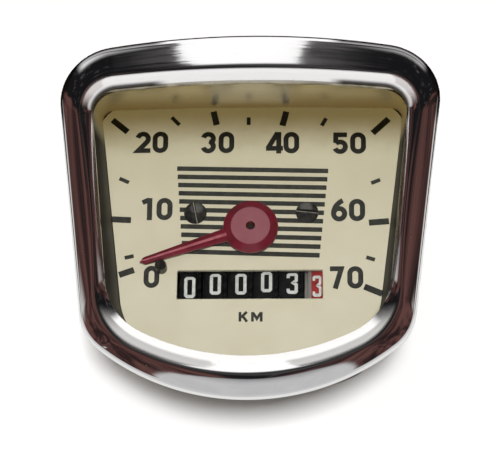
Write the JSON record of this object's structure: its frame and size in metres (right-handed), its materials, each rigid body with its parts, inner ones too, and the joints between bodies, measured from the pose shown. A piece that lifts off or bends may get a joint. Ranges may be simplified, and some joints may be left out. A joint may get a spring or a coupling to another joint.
{
  "type": "moped speedometer",
  "caption": "Shield-shaped chromed speedometer with a flat glass, a cream dial, a red pointer, an odometer, an eddy-current movement and a threaded drive collar behind.",
  "frame": {"origin": "on the pointer and drive axis, where the drive collar leaves the back of the case", "axes": "+Z out of the dial toward the viewer, +Y toward twelve o'clock, +X to the right as the dial is read"},
  "size_m": [0.0748, 0.0749, 0.0653],
  "materials": {
    "chrome": "polished chrome with light wear",
    "clear_glass": "flat clear glass",
    "gasket_rubber": "matte black",
    "well_metal": "satin, slightly yellowed",
    "case_paint": "satin black enamel",
    "dial_enamel": "matte cream enamel with dark print",
    "blackened_steel": "blackened",
    "brass": "turned",
    "pointer_red": "gloss dark red enamel",
    "steel": "ground",
    "cup_aluminium": "spun",
    "spring_bronze": "rolled strip",
    "zinc": "die-cast zinc, dull",
    "keeper_iron": "zinc plated",
    "magnet_iron": "ground magnet alloy",
    "plated_steel": "zinc plated",
    "drum_black": "black with white figures",
    "drum_red": "red with pale figures",
    "pinion_plastic": "dark grey"
  },
  "bodies": {
    "case": {"bezel": "chrome", "lens": "clear_glass", "lens_gasket": "gasket_rubber", "spacer_ring": "well_metal", "case_gasket": "gasket_rubber", "housing": "case_paint", "dial": "dial_enamel", "dial_screws": "blackened_steel", "dial_pillars": "brass", "stop_pin": "blackened_steel", "movement_frame": "zinc", "top_bridge": "zinc", "bridge_screws": "blackened_steel", "pivot_bush": "brass", "regulator_arm": "brass", "drive_collar": "zinc", "shaft_bush": "brass", "odometer_bracket": "plated_steel", "bracket_screws": "blackened_steel", "odometer_axle": "steel", "pinion_shaft": "steel", "mounting_studs": "plated_steel", "stud_washers": "plated_steel", "stud_nuts": "plated_steel"},
    "pointer_group": {"pointer": "pointer_red", "pointer_bush": "brass", "pointer_arbor": "steel", "drag_cup": "cup_aluminium", "hairspring_collet": "brass", "hairspring": "spring_bronze"},
    "drive_group": {"drive_shaft": "steel", "keeper_cup": "keeper_iron", "magnet": "magnet_iron"},
    "cross_shaft": {"cross_shaft": "steel"},
    "upright_shaft": {"upright_shaft": "steel"},
    "drum_ten_thousands": {"drum_ten_thousands": "drum_black"},
    "drum_thousands": {"drum_thousands": "drum_black"},
    "drum_hundreds": {"drum_hundreds": "drum_black"},
    "drum_tens": {"drum_tens": "drum_black"},
    "drum_units": {"drum_units": "drum_black"},
    "drum_tenths": {"drum_tenths": "drum_red"},
    "transfer_pinion_1": {"transfer_pinion_1": "pinion_plastic"},
    "transfer_pinion_2": {"transfer_pinion_2": "pinion_plastic"},
    "transfer_pinion_3": {"transfer_pinion_3": "pinion_plastic"},
    "transfer_pinion_4": {"transfer_pinion_4": "pinion_plastic"},
    "transfer_pinion_5": {"transfer_pinion_5": "pinion_plastic"}
  },
  "joints": [
    {"name": "pointer_sweep", "type": "hinge", "parent": "case", "child": "pointer_group", "pos_m": [0, 0, 0.037], "axis": [0, 0, 1], "range_deg": [-224.2, 0], "stiffness_Nm_per_rad": 0.00012, "springref_deg": 5.73},
    {"name": "drive_spin", "type": "hinge", "parent": "case", "child": "drive_group", "pos_m": [0, 0, 0], "axis": [0, 0, 1], "continuous": true},
    {"name": "cross_shaft_spin", "type": "hinge", "parent": "case", "child": "cross_shaft", "pos_m": [0, -0.0083, 0.00796], "axis": [1, 0, 0], "continuous": true},
    {"name": "upright_shaft_spin", "type": "hinge", "parent": "case", "child": "upright_shaft", "pos_m": [0.018, -0.00383, 0.02], "axis": [0, 0, 1], "continuous": true},
    {"name": "drum_ten_thousands_spin", "type": "hinge", "parent": "case", "child": "drum_ten_thousands", "pos_m": [0, -0.01133, 0.02695], "axis": [1, 0, 0], "continuous": true},
    {"name": "drum_thousands_spin", "type": "hinge", "parent": "case", "child": "drum_thousands", "pos_m": [0, -0.01133, 0.02695], "axis": [1, 0, 0], "continuous": true},
    {"name": "drum_hundreds_spin", "type": "hinge", "parent": "case", "child": "drum_hundreds", "pos_m": [0, -0.01133, 0.02695], "axis": [1, 0, 0], "continuous": true},
    {"name": "drum_tens_spin", "type": "hinge", "parent": "case", "child": "drum_tens", "pos_m": [0, -0.01133, 0.02695], "axis": [1, 0, 0], "continuous": true},
    {"name": "drum_units_spin", "type": "hinge", "parent": "case", "child": "drum_units", "pos_m": [0, -0.01133, 0.02695], "axis": [1, 0, 0], "continuous": true},
    {"name": "drum_tenths_spin", "type": "hinge", "parent": "case", "child": "drum_tenths", "pos_m": [0, -0.01133, 0.02695], "axis": [1, 0, 0], "continuous": true},
    {"name": "transfer_pinion_1_spin", "type": "hinge", "parent": "case", "child": "transfer_pinion_1", "pos_m": [0, -0.01875, 0.01953], "axis": [1, 0, 0], "continuous": true},
    {"name": "transfer_pinion_2_spin", "type": "hinge", "parent": "case", "child": "transfer_pinion_2", "pos_m": [0, -0.01875, 0.01953], "axis": [1, 0, 0], "continuous": true},
    {"name": "transfer_pinion_3_spin", "type": "hinge", "parent": "case", "child": "transfer_pinion_3", "pos_m": [0, -0.01875, 0.01953], "axis": [1, 0, 0], "continuous": true},
    {"name": "transfer_pinion_4_spin", "type": "hinge", "parent": "case", "child": "transfer_pinion_4", "pos_m": [0, -0.01875, 0.01953], "axis": [1, 0, 0], "continuous": true},
    {"name": "transfer_pinion_5_spin", "type": "hinge", "parent": "case", "child": "transfer_pinion_5", "pos_m": [0, -0.01875, 0.01953], "axis": [1, 0, 0], "continuous": true}
  ],
  "couplings": [
    {"joint": "cross_shaft_spin", "follows": "drive_spin", "ratio": -0.1},
    {"joint": "upright_shaft_spin", "follows": "drive_spin", "ratio": 0.01},
    {"joint": "drum_ten_thousands_spin", "follows": "drive_spin", "ratio": -0.00000001},
    {"joint": "drum_thousands_spin", "follows": "drive_spin", "ratio": -0.0000001},
    {"joint": "drum_hundreds_spin", "follows": "drive_spin", "ratio": -0.000001},
    {"joint": "drum_tens_spin", "follows": "drive_spin", "ratio": -0.00001},
    {"joint": "drum_units_spin", "follows": "drive_spin", "ratio": -0.0001},
    {"joint": "drum_tenths_spin", "follows": "drive_spin", "ratio": -0.001},
    {"joint": "transfer_pinion_1_spin", "follows": "drive_spin", "ratio": 0.000000025},
    {"joint": "transfer_pinion_2_spin", "follows": "drive_spin", "ratio": 0.00000025},
    {"joint": "transfer_pinion_3_spin", "follows": "drive_spin", "ratio": 0.0000025},
    {"joint": "transfer_pinion_4_spin", "follows": "drive_spin", "ratio": 0.000025},
    {"joint": "transfer_pinion_5_spin", "follows": "drive_spin", "ratio": 0.00025}
  ]
}
